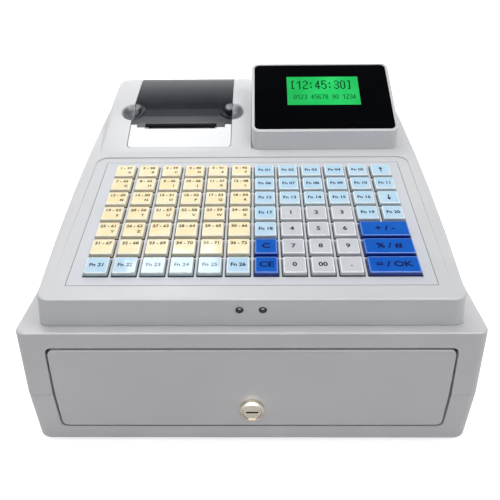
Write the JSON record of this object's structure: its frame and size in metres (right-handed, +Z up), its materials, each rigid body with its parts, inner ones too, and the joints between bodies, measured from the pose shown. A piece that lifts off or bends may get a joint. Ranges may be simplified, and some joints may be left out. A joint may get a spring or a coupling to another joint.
{
  "type": "cash register",
  "caption": "Counter-top cash register: off-white cabinet with one key-locked cash drawer, sloped keyboard, receipt printer under a smoked lid and a tilted display pod.",
  "frame": {"origin": "on the surface the feet stand on, at the middle of the footprint", "axes": "+X to the right seen from the operator, +Y to the back, +Z up; the drawer opens along -Y"},
  "size_m": [0.3134, 0.3294, 0.2134],
  "materials": {
    "shell": "fine-grained off-white moulding",
    "housing": "fine-grained off-white moulding",
    "plate": "light grey-lilac moulding",
    "cream_key": "clear caps over pale yellow labels",
    "sky_key": "clear caps over pale blue labels",
    "blue_key": "clear caps over dark blue labels",
    "grey_key": "clear caps over grey labels",
    "rubber": "matt black rubber",
    "black_plastic": "satin black moulding",
    "smoked": "smoked moulding",
    "window": "polished black window",
    "lcd": "lit green display module",
    "board": "green circuit board",
    "steel": "zinc-plated steel sheet and wire",
    "nickel": "nickel plate",
    "nylon": "natural nylon",
    "paper": "thermal paper",
    "lamp": "dark lamp lens, unlit"
  },
  "bodies": {
    "cabinet": {"cabinet_shell": "shell", "cabinet_base": "shell", "foot_front_left": "rubber", "foot_rear_left": "rubber", "foot_front_right": "rubber", "foot_rear_right": "rubber", "slide_rail_left": "steel", "slide_rail_right": "steel", "latch_solenoid": "steel", "kick_spring": "steel", "top_housing": "housing", "status_lamp_left": "lamp", "status_lamp_right": "lamp", "keyboard_plate": "plate", "keyboard_board": "board", "display_pod": "housing", "display_window": "window", "lcd_panel": "lcd", "printer_flap": "housing", "lid_pin": "steel", "print_mechanism": "black_plastic", "main_board": "board", "power_jack": "black_plastic"},
    "drawer": {"drawer_front": "shell", "drawer_tray": "steel", "cash_insert": "black_plastic", "lock_barrel": "nickel"},
    "lock": {"lock_plug": "nickel", "lock_cam": "steel"},
    "tray_roller_left": {"tray_roller_left": "nylon"},
    "tray_roller_right": {"tray_roller_right": "nylon"},
    "bill_clip_1": {"bill_clip_1": "steel"},
    "bill_clip_2": {"bill_clip_2": "steel"},
    "bill_clip_3": {"bill_clip_3": "steel"},
    "bill_clip_4": {"bill_clip_4": "steel"},
    "plunger": {"solenoid_plunger": "nickel"},
    "latch": {"latch_lever": "steel"},
    "lid": {"printer_lid": "smoked"},
    "paper_roll": {"paper_roll": "paper"},
    "platen": {"platen_roller": "rubber"},
    "cream_key_bank": {"cream_key_bank": "cream_key"},
    "sky_key_row": {"sky_key_row": "sky_key"},
    "sky_key_bank": {"sky_key_bank": "sky_key"},
    "key_1": {"key_1": "grey_key"},
    "key_2": {"key_2": "grey_key"},
    "key_3": {"key_3": "grey_key"},
    "key_4": {"key_4": "grey_key"},
    "key_5": {"key_5": "grey_key"},
    "key_6": {"key_6": "grey_key"},
    "key_7": {"key_7": "grey_key"},
    "key_8": {"key_8": "grey_key"},
    "key_9": {"key_9": "grey_key"},
    "key_0": {"key_0": "grey_key"},
    "key_00": {"key_00": "grey_key"},
    "key_point": {"key_point": "grey_key"},
    "blue_key_upper": {"blue_key_upper": "blue_key"},
    "blue_key_lower": {"blue_key_lower": "blue_key"},
    "wide_key_upper": {"wide_key_upper": "blue_key"},
    "wide_key_middle": {"wide_key_middle": "blue_key"},
    "wide_key_lower": {"wide_key_lower": "blue_key"}
  },
  "joints": [
    {"name": "drawer_slide", "type": "slide", "parent": "cabinet", "child": "drawer", "axis": [0, -1, 0], "range_m": [0, 0.235]},
    {"name": "tray_roller_left_spin", "type": "hinge", "parent": "drawer", "child": "tray_roller_left", "pos_m": [-0.1335, 0.10859, 0.0326], "axis": [1, 0, 0], "range_deg": [0, 1930]},
    {"name": "tray_roller_right_spin", "type": "hinge", "parent": "drawer", "child": "tray_roller_right", "pos_m": [0.1335, 0.10859, 0.0326], "axis": [1, 0, 0], "range_deg": [0, 1930]},
    {"name": "lock_turn", "type": "hinge", "parent": "drawer", "child": "lock", "pos_m": [0.0005, -0.16016, 0.0352], "axis": [0, 1, 0], "range_deg": [0, 90]},
    {"name": "bill_clip_1_lift", "type": "hinge", "parent": "drawer", "child": "bill_clip_1", "pos_m": [-0.09525, 0.10819, 0.0385], "axis": [-1, 0, 0], "range_deg": [0, 60], "stiffness_Nm_per_rad": 0.02, "springref_deg": -28.65},
    {"name": "bill_clip_2_lift", "type": "hinge", "parent": "drawer", "child": "bill_clip_2", "pos_m": [-0.03175, 0.10819, 0.0385], "axis": [-1, 0, 0], "range_deg": [0, 60], "stiffness_Nm_per_rad": 0.02, "springref_deg": -28.65},
    {"name": "bill_clip_3_lift", "type": "hinge", "parent": "drawer", "child": "bill_clip_3", "pos_m": [0.03175, 0.10819, 0.0385], "axis": [-1, 0, 0], "range_deg": [0, 60], "stiffness_Nm_per_rad": 0.02, "springref_deg": -28.65},
    {"name": "bill_clip_4_lift", "type": "hinge", "parent": "drawer", "child": "bill_clip_4", "pos_m": [0.09525, 0.10819, 0.0385], "axis": [-1, 0, 0], "range_deg": [0, 60], "stiffness_Nm_per_rad": 0.02, "springref_deg": -28.65},
    {"name": "plunger_slide", "type": "slide", "parent": "cabinet", "child": "plunger", "axis": [0, 0, -1], "range_m": [0, 0.0025], "stiffness_N_per_m": 300, "springref_m": -0.002},
    {"name": "latch_swing", "type": "hinge", "parent": "cabinet", "child": "latch", "pos_m": [0, 0.14659, 0.054], "axis": [1, 0, 0], "range_deg": [0, 12]},
    {"name": "lid_hinge", "type": "hinge", "parent": "cabinet", "child": "lid", "pos_m": [-0.0637, 0.13219, 0.18777], "axis": [-1, 0, 0], "range_deg": [0, 80]},
    {"name": "paper_roll_spin", "type": "hinge", "parent": "cabinet", "child": "paper_roll", "pos_m": [-0.0637, 0.09319, 0.1337], "axis": [1, 0, 0], "continuous": true},
    {"name": "platen_spin", "type": "hinge", "parent": "cabinet", "child": "platen", "pos_m": [-0.0637, 0.05489, 0.16417], "axis": [1, 0, 0], "continuous": true},
    {"name": "cream_key_bank_press", "type": "slide", "parent": "cabinet", "child": "cream_key_bank", "axis": [0, 0.1892, -0.9819], "range_m": [0, 0.003], "stiffness_N_per_m": 2400, "springref_m": -0.003},
    {"name": "sky_key_row_press", "type": "slide", "parent": "cabinet", "child": "sky_key_row", "axis": [0, 0.1892, -0.9819], "range_m": [0, 0.003], "stiffness_N_per_m": 600, "springref_m": -0.003},
    {"name": "sky_key_bank_press", "type": "slide", "parent": "cabinet", "child": "sky_key_bank", "axis": [0, 0.1892, -0.9819], "range_m": [0, 0.003], "stiffness_N_per_m": 1800, "springref_m": -0.003},
    {"name": "key_1_press", "type": "slide", "parent": "cabinet", "child": "key_1", "axis": [0, 0.1892, -0.9819], "range_m": [0, 0.003], "stiffness_N_per_m": 250, "springref_m": -0.003},
    {"name": "key_2_press", "type": "slide", "parent": "cabinet", "child": "key_2", "axis": [0, 0.1892, -0.9819], "range_m": [0, 0.003], "stiffness_N_per_m": 250, "springref_m": -0.003},
    {"name": "key_3_press", "type": "slide", "parent": "cabinet", "child": "key_3", "axis": [0, 0.1892, -0.9819], "range_m": [0, 0.003], "stiffness_N_per_m": 250, "springref_m": -0.003},
    {"name": "key_4_press", "type": "slide", "parent": "cabinet", "child": "key_4", "axis": [0, 0.1892, -0.9819], "range_m": [0, 0.003], "stiffness_N_per_m": 250, "springref_m": -0.003},
    {"name": "key_5_press", "type": "slide", "parent": "cabinet", "child": "key_5", "axis": [0, 0.1892, -0.9819], "range_m": [0, 0.003], "stiffness_N_per_m": 250, "springref_m": -0.003},
    {"name": "key_6_press", "type": "slide", "parent": "cabinet", "child": "key_6", "axis": [0, 0.1892, -0.9819], "range_m": [0, 0.003], "stiffness_N_per_m": 250, "springref_m": -0.003},
    {"name": "key_7_press", "type": "slide", "parent": "cabinet", "child": "key_7", "axis": [0, 0.1892, -0.9819], "range_m": [0, 0.003], "stiffness_N_per_m": 250, "springref_m": -0.003},
    {"name": "key_8_press", "type": "slide", "parent": "cabinet", "child": "key_8", "axis": [0, 0.1892, -0.9819], "range_m": [0, 0.003], "stiffness_N_per_m": 250, "springref_m": -0.003},
    {"name": "key_9_press", "type": "slide", "parent": "cabinet", "child": "key_9", "axis": [0, 0.1892, -0.9819], "range_m": [0, 0.003], "stiffness_N_per_m": 250, "springref_m": -0.003},
    {"name": "key_0_press", "type": "slide", "parent": "cabinet", "child": "key_0", "axis": [0, 0.1892, -0.9819], "range_m": [0, 0.003], "stiffness_N_per_m": 250, "springref_m": -0.003},
    {"name": "key_00_press", "type": "slide", "parent": "cabinet", "child": "key_00", "axis": [0, 0.1892, -0.9819], "range_m": [0, 0.003], "stiffness_N_per_m": 250, "springref_m": -0.003},
    {"name": "key_point_press", "type": "slide", "parent": "cabinet", "child": "key_point", "axis": [0, 0.1892, -0.9819], "range_m": [0, 0.003], "stiffness_N_per_m": 250, "springref_m": -0.003},
    {"name": "blue_key_upper_press", "type": "slide", "parent": "cabinet", "child": "blue_key_upper", "axis": [0, 0.1892, -0.9819], "range_m": [0, 0.003], "stiffness_N_per_m": 250, "springref_m": -0.003},
    {"name": "blue_key_lower_press", "type": "slide", "parent": "cabinet", "child": "blue_key_lower", "axis": [0, 0.1892, -0.9819], "range_m": [0, 0.003], "stiffness_N_per_m": 250, "springref_m": -0.003},
    {"name": "wide_key_upper_press", "type": "slide", "parent": "cabinet", "child": "wide_key_upper", "axis": [0, 0.1892, -0.9819], "range_m": [0, 0.003], "stiffness_N_per_m": 250, "springref_m": -0.003},
    {"name": "wide_key_middle_press", "type": "slide", "parent": "cabinet", "child": "wide_key_middle", "axis": [0, 0.1892, -0.9819], "range_m": [0, 0.003], "stiffness_N_per_m": 250, "springref_m": -0.003},
    {"name": "wide_key_lower_press", "type": "slide", "parent": "cabinet", "child": "wide_key_lower", "axis": [0, 0.1892, -0.9819], "range_m": [0, 0.003], "stiffness_N_per_m": 250, "springref_m": -0.003}
  ],
  "couplings": [
    {"joint": "tray_roller_left_spin", "follows": "drawer_slide", "rad_per_m": 142.86},
    {"joint": "tray_roller_right_spin", "follows": "drawer_slide", "rad_per_m": 142.86},
    {"joint": "latch_swing", "follows": "plunger_slide", "rad_per_m": 83.333},
    {"joint": "platen_spin", "follows": "paper_roll_spin", "ratio": -6}
  ]
}
